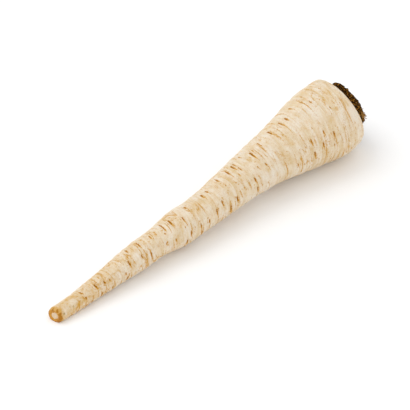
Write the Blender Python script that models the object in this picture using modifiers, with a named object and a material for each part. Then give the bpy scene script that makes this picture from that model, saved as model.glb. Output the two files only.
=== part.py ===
# A parsley root trimmed of its leaves, lying on its side with the crown towards +X and the cut tip towards -X.
# Two solids: the fleshy root, and the dark stub of old leaf bases that grows out of its shoulder.

import math
import random

import bmesh
import bpy
from mathutils import Matrix, Vector

# Lengths are in millimetres until a mesh is laid down, which turns them to metres
MM = 0.001
SIDES = 36

# Angles round the root run from its upper side towards -Y
SHORT_SIDE = math.radians(132)
BROAD_SIDE = math.radians(42)

# Distances run along the root from a mark 3 mm inside the cut tip
TIP_END = -3.0
TIP_FACE_RADIUS = 3.0

# Outline of the taper: distance, and radius
TAPER = (
    (-2.2, 3.9), (0, 4.25), (13, 4.7), (26, 5.45), (40, 6.55), (54, 7.7), (68, 7.7), (83, 9.8),
    (97, 9.7), (112, 10.4), (128, 11.4), (144, 13.0), (160, 14.8), (177, 17.85), (194, 21.5), (204, 22.7),
)

# The shoulder is a rounding from the thickest place to the rim round the crown, fuller than an ellipse
THICKEST = 204.0
SHOULDER_RADIUS = 22.7
RIM = 215.6
RIM_RADIUS = 16.0
SHOULDER_FULLNESS = 0.62
SHOULDER_RINGS = 9

# The crown stands in a shallow seat inside the rim
SEAT_RADIUS = 14.6
SEAT_FLOOR = 213.0
GAP = 0.3

# Bends of the middle line: distance, shift to the short side, shift to the broad side
BEND = (
    (-3, 1.4, -1.6), (0, 1.7, -1.6), (15, 1.9, -0.9), (55, 0.4, 0.6), (98, 0.4, 1.2), (118, -0.7, 1.1),
    (150, -2.5, 0.6), (176, -2.5, 0.1), (192, -2.9, 0.0), (204, -2.6, 0.0), (217, -3.0, -0.3), (228, -3.0, -0.3),
)

# The rings of the skin lean where the shoulder swells, by degrees, away from its short side
LEAN = ((160, 0), (204, 9), (217, -5), (228, -5))

# Towards the crown they also lean back on the broad side: from, up to, the slope there, and the
# distance to the broad side at which the rings stay in place
END_TILT = (180.0, 212.0, 0.32, 12.0)

# Cross furrows stand in four rows along the root, where side roots grew
FURROW_SEED = 41
FURROW_ROWS = (2, 88, 181, 268)
FIRST_FURROW = 7.0
LAST_FURROW = 200.0
FURROW_STEP = (3.6, 5.6)
FURROW_HALF_WIDTH = 1.1
SHOULDER_CREASE = (192.0, math.radians(124), math.radians(34), 1.6, 1.0)

# Flats worn where the root rests: how much is taken off under the shoulder and under the tip
BELLY_FLAT = 1.0
TIP_FLAT = 0.5
BELLY_REACH = (188.0, 212.0)
TIP_REACH = (-2.0, 13.0)

# Swellings grow to their full size over this distance from the tip
LOOSE_REACH = 12.0

# Leaf bases of the crown, from the outermost in towards the heart
CROWN_SEED = 8
LEAF_BASES = 22
GOLDEN_TURN = math.radians(137.5)
LEAF_OUTER_RADIUS = 13.2
LEAF_INNER_RADIUS = 2.2
LEAF_CROWDING = 1.3
LEAF_FOOT = 215.0
LEAF_TOP = 223.2
LEAF_HEART_RISE = 1.8
LEAF_THICKNESS = 2.0


def clear_scene():
    for obj in list(bpy.data.objects):
        bpy.data.objects.remove(obj, do_unlink=True)


# A smooth curve through points that are listed by distance, read at any distance
def along(points, place, column=1):
    last = len(points) - 1
    right = next((i for i in range(1, last) if points[i][0] >= place), last)
    left = right - 1

    def slope(i):
        before, after = points[max(i - 1, 0)], points[min(i + 1, last)]
        return (after[column] - before[column]) / (after[0] - before[0])

    span = points[right][0] - points[left][0]
    t = min(max((place - points[left][0]) / span, 0.0), 1.0)
    start, end = points[left][column], points[right][column]
    return (
        start * (1 + 2 * t) * (1 - t) ** 2
        + slope(left) * span * t * (1 - t) ** 2
        + end * t * t * (3 - 2 * t)
        - slope(right) * span * t * t * (1 - t)
    )


def bump(t):
    return 0.5 + 0.5 * math.cos(math.pi * min(abs(t), 1.0))


def ramp(place, start, end):
    return 1 - bump((place - start) / (end - start)) if place > start else 0.0


# Each furrow: distance, angle, half of its arc, half of its width, depth
def drawn_furrows():
    draw = random.Random(FURROW_SEED)
    furrows = []
    place = FIRST_FURROW
    while place < LAST_FURROW:
        for row in draw.sample(FURROW_ROWS, draw.choice((1, 2, 2, 3))):
            turn = math.radians(row + draw.uniform(-16, 16))
            arc = math.radians(draw.uniform(22, 52))
            depth = draw.uniform(0.3, 0.75) * (0.6 + 0.4 * along(TAPER, place) / SHOULDER_RADIUS)
            furrows.append((place, turn, arc, FURROW_HALF_WIDTH, depth))
        place += draw.uniform(*FURROW_STEP)
    return furrows + [SHOULDER_CREASE]


FURROWS = drawn_furrows()


def furrow_depth(place, angle):
    depth = 0.0
    for middle, turn, arc, half_width, deepest in FURROWS:
        across = (place - middle) / half_width
        if abs(across) < 1:
            depth += deepest * bump(across) * bump(math.remainder(angle - turn, math.tau) / arc)
    return depth


# The root isn't round: low swellings wind along it, in parts of its radius
def swelling(place, angle):
    return (
        0.020 * math.cos(2 * (angle - 0.6) + place / 55)
        + 0.014 * math.cos(3 * angle - place / 37)
        + 0.012 * math.sin(place / 8.5 + 1.3 * math.sin(angle))
    )


# Rings of the skin wander along the root as they go round it
def wander(place, angle):
    return 0.8 * math.sin(angle + place / 31) + 0.4 * math.sin(2 * angle - place / 17)


# The bends and the lean that the root and the crown share, on axes x along the root, y and z across it
def bent(place, radius, angle):
    toward_short = radius * math.cos(angle - SHORT_SIDE)
    shift = -math.tan(math.radians(along(LEAN, place))) * toward_short
    tilt_from, tilt_to, slope, pivot = END_TILT
    shift -= slope * ramp(place, tilt_from, tilt_to) * (radius * math.cos(angle - BROAD_SIDE) - pivot)
    to_short = along(BEND, place, 1)
    to_broad = along(BEND, place, 2)
    up = radius * math.cos(angle) + to_short * math.cos(SHORT_SIDE) + to_broad * math.cos(BROAD_SIDE)
    out = radius * math.sin(angle) + to_short * math.sin(SHORT_SIDE) + to_broad * math.sin(BROAD_SIDE)
    return Vector((place + shift, -out, up))


def skin_point(place, radius, angle):
    loose = ramp(place, TIP_END, TIP_END + LOOSE_REACH) * (1 - ramp(place, THICKEST - LOOSE_REACH / 2, RIM))
    grown = radius * (1 + swelling(place, angle) * loose) - furrow_depth(place, angle)
    return bent(place + wander(place, angle) * loose, grown, angle)


# Turned shape: an outline of (distance, radius) run round the root's length
def turned(name, outline, sides):
    mesh = bpy.data.meshes.new(name)
    points = [(radius * MM, 0, place * MM) for place, radius in outline]
    mesh.from_pydata(points, [(i, i + 1) for i in range(len(points) - 1)], [])
    obj = bpy.data.objects.new(name, mesh)
    bpy.context.scene.collection.objects.link(obj)
    screw = obj.modifiers.new("Screw", "SCREW")
    screw.axis = "Z"
    screw.angle = math.tau
    screw.steps = screw.render_steps = sides
    screw.use_merge_vertices = True
    screw.merge_threshold = 0.00001
    return realised(obj)


# The object with its modifiers made into its mesh
def realised(obj):
    graph = bpy.context.evaluated_depsgraph_get()
    mesh = bpy.data.meshes.new_from_object(obj.evaluated_get(graph))
    obj.modifiers.clear()
    obj.data = mesh
    return obj


# Moves each vertex, read as distance, radius and angle, by a function that returns its place in millimetres
def shaped(obj, move):
    for vertex in obj.data.vertices:
        x, y, z = vertex.co / MM
        vertex.co = move(z, math.hypot(x, y), math.atan2(y, x))
    return obj


# A point of the shoulder's rounding, from the thickest place at 0 to the rim at a quarter turn
def shoulder_point(turn):
    deep = max(math.sin(turn), 0.0) ** SHOULDER_FULLNESS
    wide = max(math.cos(turn), 0.0) ** SHOULDER_FULLNESS
    return THICKEST + (RIM - THICKEST) * deep, RIM_RADIUS + (SHOULDER_RADIUS - RIM_RADIUS) * wide


def root_outline():
    middles = sorted({furrow[0] for furrow in FURROWS})
    places = {place + side for place in middles for side in (-FURROW_HALF_WIDTH, 0, FURROW_HALF_WIDTH)}
    places = sorted(place for place in places if TAPER[1][0] + 1 < place < THICKEST - 1)
    kept = [places[0]]
    for place in places[1:]:
        if place - kept[-1] > 0.5:
            kept.append(place)
    shoulder = [shoulder_point(math.pi / 2 * i / SHOULDER_RINGS) for i in range(SHOULDER_RINGS, -1, -1)]
    seat = [(SEAT_FLOOR, 0), (SEAT_FLOOR, SEAT_RADIUS), (RIM - 0.5, SEAT_RADIUS + 0.2)]
    taper = [(place, along(TAPER, place)) for place in reversed(kept)]
    return seat + shoulder + taper + [TAPER[1], TAPER[0], (TIP_END, TIP_FACE_RADIUS), (TIP_END, 0)]


def make_root():
    return shaped(turned("root", root_outline(), SIDES), skin_point)


# One leaf base: a box bent round the crown, thinner at its ends, with a torn top
def leaf_base(name, turn, radius, arc, top, thickness, phase):
    bm = bmesh.new()
    bmesh.ops.create_cube(bm, size=1)
    long_edges = [e for e in bm.edges if abs(e.verts[0].co.x - e.verts[1].co.x) > 0.5]
    bmesh.ops.subdivide_edges(bm, edges=long_edges, cuts=7, use_grid_fill=True)
    high_edges = [e for e in bm.edges if abs(e.verts[0].co.z - e.verts[1].co.z) > 0.5]
    bmesh.ops.subdivide_edges(bm, edges=high_edges, cuts=1, use_grid_fill=True)
    for vertex in bm.verts:
        end, side, height = vertex.co.x * 2, vertex.co.y * 2, vertex.co.z + 0.5
        torn = 0.35 * math.sin(5 * end + phase) + 0.2 * math.sin(11 * end + 2 * phase)
        rise = (top - LEAF_FOOT) * (1 - 0.16 * end * end) + torn
        out = radius + side * thickness / 2 * (1 - 0.6 * end * end) + 0.5 * height * (1 - end * end)
        vertex.co = bent(LEAF_FOOT + height * rise, out, turn + end * arc)
    mesh = bpy.data.meshes.new(name)
    bmesh.ops.recalc_face_normals(bm, faces=bm.faces)
    bm.to_mesh(mesh)
    bm.free()
    return bpy.data.objects.new(name, mesh)


# The stepped disc that the leaf bases stand in
def crown_disc():
    floor = SEAT_FLOOR + GAP
    outline = [
        (219.8, 0), (220.2, 6.0), (220.0, 10.5), (220.2, 12.7), (219.6, 13.4), (218.8, 13.2),
        (218.3, 13.9), (217.4, 14.1), (216.9, 13.7), (216.2, 14.2), (floor, SEAT_RADIUS - GAP), (floor, 0),
    ]
    return shaped(turned("crown", outline, 40), bent)


# Fills the hollows that a union seals and drops loose scraps, by keeping the largest shell alone
def keep_largest_shell(obj):
    bm = bmesh.new()
    bm.from_mesh(obj.data)
    unseen = set(bm.faces)
    shells = []
    while unseen:
        shell = [unseen.pop()]
        for face in shell:
            linked = {other for edge in face.edges for other in edge.link_faces} & unseen
            shell += linked
            unseen -= linked
        shells.append(shell)
    largest = max(shells, key=len)
    extra = [face for shell in shells if shell is not largest for face in shell]
    bmesh.ops.delete(bm, geom=extra, context="FACES")
    bm.to_mesh(obj.data)
    bm.free()


def make_crown():
    crown = crown_disc()
    draw = random.Random(CROWN_SEED)
    loose = bpy.data.collections.new("leaf bases")
    bpy.context.scene.collection.children.link(loose)
    for i in range(LEAF_BASES):
        inward = i / (LEAF_BASES - 1)
        radius = LEAF_OUTER_RADIUS + (LEAF_INNER_RADIUS - LEAF_OUTER_RADIUS) * inward ** LEAF_CROWDING
        arc = math.radians(36 + 50 * inward + draw.uniform(-6, 6))
        top = LEAF_TOP + LEAF_HEART_RISE * inward + draw.uniform(-0.7, 0.7)
        thickness = LEAF_THICKNESS * (1 - 0.3 * inward)
        turn = i * GOLDEN_TURN + draw.uniform(-0.12, 0.12)
        loose.objects.link(leaf_base(f"leaf_{i}", turn, radius, arc, top, thickness, draw.uniform(0, 6)))
    union = crown.modifiers.new("Union", "BOOLEAN")
    union.operation = "UNION"
    union.operand_type = "COLLECTION"
    union.collection = loose
    keep_largest_shell(realised(crown))
    for obj in list(loose.objects):
        bpy.data.objects.remove(obj, do_unlink=True)
    bpy.data.collections.remove(loose)
    return crown


def lowest(obj, reach):
    points = [v.co for v in obj.data.vertices if reach[0] < v.co.x < reach[1]]
    return min(points, key=lambda point: point.z).copy()


# Turns the root until tip and shoulder both touch the ground, flattens what lies lower, and centres the pair
def lay_down(root, crown):
    belly = lowest(root, BELLY_REACH) + Vector((0, 0, BELLY_FLAT))
    tip = lowest(root, TIP_REACH) + Vector((0, 0, TIP_FLAT))
    slope = math.atan2(belly.z - tip.z, belly.x - tip.x)
    turn = Matrix.Rotation(slope, 4, "Y") @ Matrix.Translation(-belly)
    for obj in (root, crown):
        obj.data.transform(turn)
        for vertex in obj.data.vertices:
            vertex.co.z = max(vertex.co.z, 0.0)
    points = [v.co for obj in (root, crown) for v in obj.data.vertices]
    middle = [(min(p[i] for p in points) + max(p[i] for p in points)) / 2 for i in (0, 1)]
    centre = Matrix.Scale(MM, 4) @ Matrix.Translation((-middle[0], -middle[1], 0))
    for obj in (root, crown):
        obj.data.transform(centre)


def finish(obj, colour, roughness, collection):
    material = bpy.data.materials.new(obj.name)
    material.use_nodes = True
    shader = material.node_tree.nodes["Principled BSDF"]
    shader.inputs["Base Color"].default_value = (*colour, 1)
    shader.inputs["Roughness"].default_value = roughness
    shader.inputs["Metallic"].default_value = 0
    obj.data.materials.clear()
    obj.data.materials.append(material)
    obj.data.shade_smooth()
    obj.data.set_sharp_from_angle(angle=math.radians(50))
    for old in list(obj.users_collection):
        old.objects.unlink(obj)
    collection.objects.link(obj)


def main():
    clear_scene()
    collection = bpy.data.collections.new("parsley root")
    bpy.context.scene.collection.children.link(collection)
    root = make_root()
    crown = make_crown()
    lay_down(root, crown)
    finish(root, (0.78, 0.66, 0.47), 0.6, collection)
    finish(crown, (0.06, 0.04, 0.02), 0.85, collection)


main()
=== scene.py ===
import math
import random

import bmesh
import bpy
import numpy as np
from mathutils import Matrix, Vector, noise


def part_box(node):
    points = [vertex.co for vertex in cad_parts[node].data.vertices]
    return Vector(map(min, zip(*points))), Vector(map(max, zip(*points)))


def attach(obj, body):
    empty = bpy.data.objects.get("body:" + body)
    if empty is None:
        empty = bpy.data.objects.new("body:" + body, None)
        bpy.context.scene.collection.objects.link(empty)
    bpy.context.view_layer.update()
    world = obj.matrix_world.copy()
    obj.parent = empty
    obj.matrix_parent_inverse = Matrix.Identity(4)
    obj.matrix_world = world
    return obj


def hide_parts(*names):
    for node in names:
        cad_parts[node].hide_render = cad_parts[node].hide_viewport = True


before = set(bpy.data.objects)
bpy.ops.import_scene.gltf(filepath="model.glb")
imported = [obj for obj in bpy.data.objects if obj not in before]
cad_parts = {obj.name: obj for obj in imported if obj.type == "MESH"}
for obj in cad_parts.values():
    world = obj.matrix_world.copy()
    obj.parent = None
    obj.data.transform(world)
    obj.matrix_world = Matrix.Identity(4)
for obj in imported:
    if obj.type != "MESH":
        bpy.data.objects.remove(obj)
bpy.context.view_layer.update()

mm = 0.001  # the forms are worked out in millimetres


# sRGB hex to the linear colour that the shaders take
def hexColor(code):
    parts = [int(code[i:i + 2], 16) / 255 for i in (1, 3, 5)]
    return (*[c / 12.92 if c <= 0.04045 else ((c + 0.055) / 1.055) ** 2.4 for c in parts], 1.0)


# a smooth curve through rows of (distance, values...), read at many distances at once
def along(rows, place, column=1):
    rows = np.asarray(rows, float)
    last = len(rows) - 1
    right = np.clip(np.searchsorted(rows[:, 0], place), 1, last)
    left = right - 1

    def slope(i):
        before, after = np.maximum(i - 1, 0), np.minimum(i + 1, last)
        return (rows[after, column] - rows[before, column]) / (rows[after, 0] - rows[before, 0])

    span = rows[right, 0] - rows[left, 0]
    t = np.clip((place - rows[left, 0]) / span, 0, 1)
    return (
        rows[left, column] * (1 + 2 * t) * (1 - t) ** 2 + slope(left) * span * t * (1 - t) ** 2
        + rows[right, column] * t * t * (3 - 2 * t) - slope(right) * span * t * t * (1 - t)
    )


# 1 in the middle, falling to 0 at t = 1 either way
def bump(t):
    return 0.5 + 0.5 * np.cos(np.pi * np.minimum(np.abs(t), 1))


# rises from 0 at start to 1 at end
def ramp(place, start, end):
    return 1 - bump(np.clip((place - start) / (end - start), 0, 1))


# how far round from one angle to another, the short way, with its sign
def turnFrom(angle, middle):
    return (angle - middle + np.pi) % (2 * np.pi) - np.pi


# soft lumps of about one unit across, from -1 to 1
def lumps(points, seed):
    shift = Vector((seed * 7.3, seed * 3.1, seed * 5.7))
    flat = points.reshape(-1, 3)
    return np.array([noise.noise(Vector(p) + shift) for p in flat]).reshape(points.shape[:-1])


# The root's form. Distances run in mm from a mark 3 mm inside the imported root's tip, and angles from its
# upper side towards -Y
rootForm = {
    "shortSide": math.radians(132),
    "broadSide": math.radians(42),
    # distance and radius
    "taper": (
        (-0.7, 4.0), (0, 4.2), (13, 4.7), (26, 5.45), (40, 6.55), (54, 7.7), (68, 7.7), (83, 9.8), (97, 9.7),
        (112, 10.4), (128, 11.4), (144, 13.0), (160, 14.8), (177, 17.85), (194, 21.5), (204, 22.7),
    ),
    # distance, shift to the short side, shift to the broad side
    "bend": (
        (-3, 1.4, -1.6), (0, 1.7, -1.6), (15, 1.9, -0.9), (55, 0.4, 0.6), (98, 0.4, 1.2), (118, -0.7, 1.1),
        (150, -2.5, 0.6), (176, -2.5, 0.1), (192, -2.9, 0.0), (204, -2.6, 0.0), (217, -3.0, -0.3),
        (228, -3.0, -0.3),
    ),
    # distance and the degrees that the rings lean away from the short side
    "lean": ((160, 0), (204, 9), (217, -5), (228, -5)),
    "tipEnd": -3.0,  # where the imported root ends
    "tipStart": -1.5,  # the middle of the cut face, and its edge
    "tipEdge": -0.7,
    "tipRadius": 4.0,
    "tipSquareness": 4.0,  # the tip's face is flat in its middle and rounds off towards its edge
    "tipTilt": 0.25,  # the cut leans back on the broad side, by this slope
    "tipTiltReach": 8.0,  # and the skin follows it over this distance
    "tipShort": 1.07,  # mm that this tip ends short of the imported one
    "looseReach": 12.0,  # swellings grow to their full size over this distance from the tip
    "thickest": 204.0,
    "shoulder": 22.7,  # the radius there
    "rim": 216.0,
    "rimRadius": 16.6,
    "fullness": 0.6,  # below 1 the shoulder is fuller than a quarter of an ellipse
    "rimFade": 1.0,  # the skin's own relief ends over this distance from the rim, and from the tip's edge
    "lip": (0.6, 0.5, 0.2),  # mm in from the rim, down into the seat, and out from the seat's wall
    # the rings lean back on the broad side: from, up to, slope, and how far to that side they stay in place
    "endTilt": (180.0, 212.0, 0.32, 12.0),
    "seatRadius": 14.6,
    "seatFloor": 213.0,
    # where the root rests, and how much is worn off there
    "bellyReach": (188, 212),
    "tipReach": (-2, 13),
    "bellyFlat": 1.0,
    "tipFlat": 0.5,
    # the mesh
    "outlineStep": 0.05,
    "rings": 700,
    "sides": 140,
    "tightRings": 2.0,  # how much closer the rings stand across a scar
    "tightReach": 0.9,  # over how many mm
    "tightDark": 0.4,  # and how dark the scar is at least
    "tipRings": 2.5,  # how close they stand on the tip's face
    "seatRings": 0.25,  # and in the seat, which the crown hides
}


# how far the rings lean back towards the crown, in mm
def endShift(place, radius, angle):
    tiltFrom, tiltTo, slope, pivot = rootForm["endTilt"]
    toBroad = radius * np.cos(angle - rootForm["broadSide"])
    return slope * ramp(place, tiltFrom, tiltTo) * (toBroad - pivot)


# bends and lean that the root and the crown share: x along the root, y and z across it, in mm
def bent(place, radius, angle):
    short, broad = rootForm["shortSide"], rootForm["broadSide"]
    shift = -np.tan(np.radians(along(rootForm["lean"], place))) * radius * np.cos(angle - short)
    shift = shift - endShift(place, radius, angle)
    toShort = along(rootForm["bend"], place, 1)
    toBroad = along(rootForm["bend"], place, 2)
    up = radius * np.cos(angle) + toShort * math.cos(short) + toBroad * math.cos(broad)
    out = radius * np.sin(angle) + toShort * math.sin(short) + toBroad * math.sin(broad)
    return np.stack([place + shift, -out, up], -1)


# the same points on a straight root, where the patterns are read
def unbent(place, radius, angle):
    return np.stack([place + 0 * angle, radius * np.cos(angle), radius * np.sin(angle)], -1)


# low swellings that wind along the root, in parts of its radius
def swelling(place, angle):
    return (
        0.020 * np.cos(2 * (angle - 0.6) + place / 55)
        + 0.014 * np.cos(3 * angle - place / 37)
        + 0.012 * np.sin(place / 8.5 + 1.3 * np.sin(angle))
    )


# rings of the skin wander along the root as they go round it, in mm
def wander(place, angle):
    return 0.8 * np.sin(angle + place / 31) + 0.4 * np.sin(2 * angle - place / 17)


# Scars where side roots grew: short brown dashes that run round the root, most with a thin line that
# trails off
scarForm = {
    # on the side that shows: mm from the mark, degrees round the root, mm long, how dark, mm that the
    # line trails
    "seen": (
        (10, 115, 1.6, 0.5, 0), (15, 116, 2.0, 0.7, 0), (15, 12, 2.0, 0.7, 0), (15, 57, 1.6, 0.8, 0),
        (19, 117, 2.0, 0.7, 0), (23, 35, 2.9, 0.9, 1), (25, 111, 3.6, 0.9, 1), (28, 46, 1.8, 0.9, 0),
        (31, 51, 1.6, 0.5, 0), (32, 108, 2.4, 0.9, 0), (34, -40, 2.2, 0.8, 0), (41, 77, 1.6, 0.7, 0),
        (42, 113, 3.6, 0.9, 2), (45, 44, 3.3, 0.9, 2), (48, -9, 3.2, 0.6, 0), (53, 51, 2.2, 0.7, 1),
        (55, 3, 4.2, 0.6, 2), (59, 74, 4.7, 0.7, 2), (63, 5, 2.8, 0.5, 0), (70, 67, 1.6, 0.6, 0),
        (71, 30, 1.0, 0.8, 0), (72, 0, 6.0, 0.7, 2), (76, 73, 2.1, 0.7, 2), (77, 6, 4.4, 0.9, 3),
        (83, 107, 3.8, 1.0, 1), (84, 24, 2.9, 0.7, 4), (86, 81, 3.4, 0.9, 3), (90, -6, 1.8, 0.8, 6),
        (93, 77, 2.4, 0.8, 5), (94, 112, 4.2, 0.8, 0), (99, 81, 2.0, 0.9, 5), (103, -4, 2.5, 0.9, 4),
        (105, 70, 3.2, 1.0, 7), (107, -5, 1.9, 0.9, 3), (110, 56, 3.8, 0.7, 2), (115, 96, 5.6, 0.8, 3),
        (117, -11, 3.2, 0.7, 2), (120, 78, 3.4, 1.0, 3), (125, -6, 3.7, 1.0, 4), (130, -10, 3.7, 0.9, 3),
        (132, 9, 3.0, 0.7, 1), (132, -12, 3.0, 0.6, 2), (135, 61, 2.9, 0.8, 4), (135, 91, 3.6, 0.9, 2),
        (138, -20, 1.8, 0.5, 2), (144, 2, 5.0, 1.0, 4), (146, 45, 2.2, 0.6, 4), (152, -7, 4.2, 0.5, 3),
        (162, -13, 4.2, 0.9, 7), (164, 87, 1.8, 0.7, 2), (170, -10, 4.2, 0.8, 9), (174, -9, 3.0, 0.9, 0),
        (177, 83, 3.5, 1.0, 3), (177, 58, 3.4, 0.7, 3), (181, -21, 2.7, 0.7, 4), (184, 74, 3.3, 0.8, 5),
        (186, 55, 2.1, 0.8, 3), (187, -12, 2.0, 0.6, 14), (190, 0, 2.8, 0.6, 2), (191, 84, 1.9, 0.5, 0),
        (191, -22, 1.7, 0.6, 0), (192, 67, 2.9, 1.0, 11), (196, 28, 1.3, 0.9, 0),
    ),
    # the rest of the skin, drawn in rows along the root: degrees round it, from and up to, steps, and how
    # widely they scatter off the row
    "seed": 23,
    "rows": (172, 262),
    "reach": (6.0, 199),
    "step": (3.2, 6.4),
    "spread": (0.6, 15),
    "length": (1.4, 4.6),
    "dark": (0.45, 1.0),
    "trail": (6.0, 1.5),  # the longest, and how much more often a short one comes
    # faint ones between them, more of them towards the crown
    "faint": 330,
    "faintReach": (4, 208),
    "faintCrowding": 0.75,
    "faintLength": (0.5, 2.4),
    "faintDark": (0.08, 0.36),
    "faintTrail": (3, 3),
    # half widths across a dash, in mm
    "coreWidth": 0.72,
    "lipWidth": 0.7,
    "grooveWidth": 1.5,
    "lineWidth": 0.45,
    "haloWidth": 1.2,
    "blur": 0.12,
    # how far its lips stand from its middle, and how far its ends sweep aside
    "lipPlace": 0.95,
    "sweep": 0.1,
    "zone": 4,  # mm to either side that one scar can touch
    # and how far each part stands in or out
    "coreDepth": 0.08,
    "lipHeight": 0.14,
    "grooveDepth": 0.2,
    "lineDepth": 0.1,
}


# the ring on which a marking lies that is seen at a distance, corrected in a few rounds
def ringOf(place, angle):
    ring = place
    for _ in range(8):
        ring = place + float(endShift(ring, along(rootForm["taper"], ring), angle))
    return ring


# each scar: distance, angle, half length, darkness, length of the trailing line and which way it goes
def listScars():
    form = scarForm
    draw = random.Random(form["seed"])
    scars = []
    for seenAt, degrees, long, dark, trail in form["seen"]:
        turn = math.radians(degrees)
        scars.append((ringOf(seenAt, turn), turn, long / 2, dark, trail, 1))
    first, last = form["reach"]
    off, wide = form["spread"]
    longest, shortBias = form["trail"]
    for row in form["rows"]:
        place = first
        while place < last:
            turn = math.radians(row + draw.gauss(0, off) * wide)
            trail = longest * draw.random() ** shortBias
            half = draw.uniform(*form["length"]) / 2
            scars.append((place, turn, half, draw.uniform(*form["dark"]), trail, draw.choice((-1, 1))))
            place += draw.uniform(*form["step"])
    first, last = form["faintReach"]
    longest, shortBias = form["faintTrail"]
    for _ in range(form["faint"]):
        place = first + (last - first) * draw.random() ** form["faintCrowding"]
        half = draw.uniform(*form["faintLength"]) / 2
        dark = draw.uniform(*form["faintDark"])
        turn = draw.uniform(-math.pi, math.pi)
        trail = longest * draw.random() ** shortBias
        scars.append((place, turn, half, dark, trail, draw.choice((-1, 1))))
    return scars


# Wrinkles that run part of the way round: broad shallow furrows, fine creases, and folds that wander
wrinkleForm = {
    # furrows: degrees round the root, how many at one distance, degrees off the row, half arc in degrees
    "seed": 41,
    "rows": (2, 88, 181, 268),
    "atOnce": (1, 2, 2, 3),
    "furrowReach": (7.0, 200),
    "furrowStep": (3.6, 5.6),
    "furrowTurn": 16,
    "furrowArc": (22, 52),
    "furrowWidth": 1.1,
    "furrowDepth": (0.3, 0.75),
    "furrowShare": 0.6,
    "shoulderCrease": (192.0, math.radians(124), math.radians(34), 1.6, 1.0),
    # fine creases
    "creases": 200,
    "creaseSeed": 77,
    "creaseReach": (4, 208),
    "creaseArc": (14, 46),
    "creaseDepth": (0.05, 0.15),
    "creaseWidth": (0.35, 0.7),
    # painted shade in a crease: how dark it is at its darkest, and the depth that goes with that darkness
    "creaseShade": (0.8, 0.13),  # how dark one is, and how deep for that
    # folds, knobs, ripples and grain: mm along the root and round it
    "foldSpan": (3.4, 13, 13),
    "foldWidth": 0.13,
    "foldZones": (20, 12, 12),
    "foldZoneCut": (-0.15, 0.25),
    # painted shade along a fold
    "foldShade": 0.45,
    "foldDepth": 0.16,
    "knobSpan": (7, 12, 12),
    "knobHeight": 0.34,
    "rippleSpan": (2.6, 10, 10),
    "rippleHeight": 0.38,
    "grainSpan": (0.9, 3.5, 3.5),
    "grainHeight": 0.05,
}


# each wrinkle: distance, angle, half arc, half width, depth
def listFurrows():
    form = wrinkleForm
    draw = random.Random(form["seed"])
    furrows = []
    place, last = form["furrowReach"]
    while place < last:
        for row in draw.sample(form["rows"], draw.choice(form["atOnce"])):
            turn = math.radians(row + draw.uniform(-form["furrowTurn"], form["furrowTurn"]))
            arc = math.radians(draw.uniform(*form["furrowArc"]))
            size = 0.6 + 0.4 * float(along(rootForm["taper"], place)) / rootForm["shoulder"]
            depth = draw.uniform(*form["furrowDepth"]) * size * form["furrowShare"]
            furrows.append((place, turn, arc, form["furrowWidth"], depth))
        place += draw.uniform(*form["furrowStep"])
    return furrows + [form["shoulderCrease"]]


def listCreases():
    form = wrinkleForm
    draw = random.Random(form["creaseSeed"])
    first, last = form["creaseReach"]
    creases = []
    for i in range(form["creases"]):
        place = first + (last - first) * (i + draw.random()) / form["creases"]
        arc = math.radians(draw.uniform(*form["creaseArc"]))
        width = draw.uniform(*form["creaseWidth"])
        depth = draw.uniform(*form["creaseDepth"])
        creases.append((place, draw.uniform(-math.pi, math.pi), arc, width, depth))
    return creases


# Stains and rubbed places: mm from the mark, degrees round, half size along and round in mm, strength
stainForm = {
    "gold": (
        (199, 35, 1.6, 2.2, 0.7), (203, 22, 1.5, 1.8, 0.5), (202, 8, 2.5, 3.5, 0.45),
        (196, 12, 1.6, 2.0, 0.5), (198, 18, 1.6, 2.2, 0.5), (204, 41, 2.5, 3.5, 0.45),
        (185, 38, 1.5, 3.0, 0.4), (166, -26, 1.5, 2.0, 0.6), (141, 11, 1.5, 1.5, 0.5),
        (202, 99, 1.8, 2.6, 0.9), (202.5, 89, 0.8, 1.6, 0.9), (24, 50, 4.0, 3.0, 0.5),
        (30, 60, 2.5, 2.5, 0.6), (12, 60, 4.0, 3.0, 0.7), (36, 40, 3.0, 4.0, 0.4),
    ),
    "green": (
        (1.0, 65, 0.9, 1.0, 0.9), (7.3, 60, 1.0, 1.2, 0.6), (169, 93, 0.9, 1.8, 0.5),
        (111, 102, 1.3, 2.2, 0.5), (28, 47, 0.8, 1.0, 0.7),
    ),
    "rubbed": (
        (203, 94, 0.8, 1.4, 1.0), (187, 20, 5.0, 7.0, 0.6), (150, 30, 8.0, 6.0, 0.5),
        (208, 60, 5.0, 9.0, 0.5),
    ),
    # drawn for the rest: how many, smallest and largest half size, strength
    "seed": 5,
    "drawn": {"gold": (110, 0.8, 3.2, 0.5), "green": (12, 0.8, 2.0, 0.4), "rubbed": (40, 1.5, 6.0, 0.5)},
    "reach": (3, 211),
    "crowding": 0.8,  # below 1 there are more towards the crown
    "squat": 0.6,  # how long one is for its width
    "softness": 1.5,
}


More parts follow.
